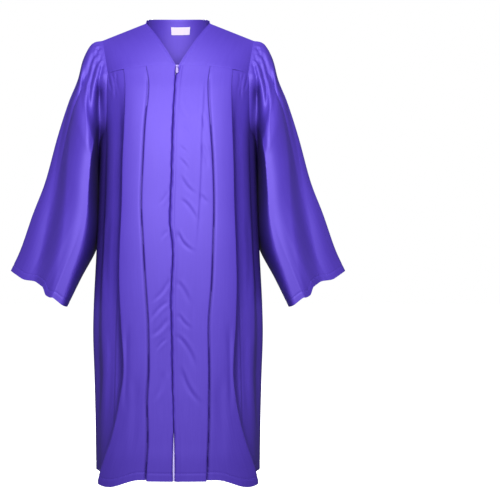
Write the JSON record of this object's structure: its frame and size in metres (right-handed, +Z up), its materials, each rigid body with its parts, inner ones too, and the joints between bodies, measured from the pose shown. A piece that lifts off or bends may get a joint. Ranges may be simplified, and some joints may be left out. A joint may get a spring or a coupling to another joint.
{
  "type": "graduation gown",
  "caption": "Full-length academic gown with a V neck, zip front, yoke, knife-pleated front panels and open gathered bell sleeves, hollow and filled out as worn.",
  "frame": {"origin": "midway between the two points where the shoulder seams meet the neck, where the wearer's shoulders carry the gown", "axes": "+Z up, the front faces -Y, +X is the wearer's left"},
  "size_m": [0.9632, 0.3475, 1.3351],
  "materials": {
    "gown_cloth": "smooth matte-satin polyester in violet, plain weave",
    "zip_tape": "woven polyester tape with a fine nylon coil",
    "zip_slider": "enamelled die-cast slider",
    "zip_pull": "pale enamelled tab",
    "label_cloth": "bare white woven satin"
  },
  "bodies": {
    "gown": {"yoke_front_left": "gown_cloth", "yoke_front_right": "gown_cloth", "yoke_back": "gown_cloth", "front_left": "gown_cloth", "front_right": "gown_cloth", "back": "gown_cloth", "sleeve_left": "gown_cloth", "sleeve_right": "gown_cloth", "zip_tape_left": "zip_tape", "zip_tape_right": "zip_tape", "zip_slider": "zip_slider", "label": "label_cloth"},
    "pull_tab": {"zip_pull": "zip_pull"}
  },
  "joints": [
    {"name": "pull_tab_hinge", "type": "hinge", "parent": "gown", "child": "pull_tab", "pos_m": [-0.0027, -0.10423, -0.13634], "axis": [-1, 0, 0], "range_deg": [0, 165]}
  ]
}
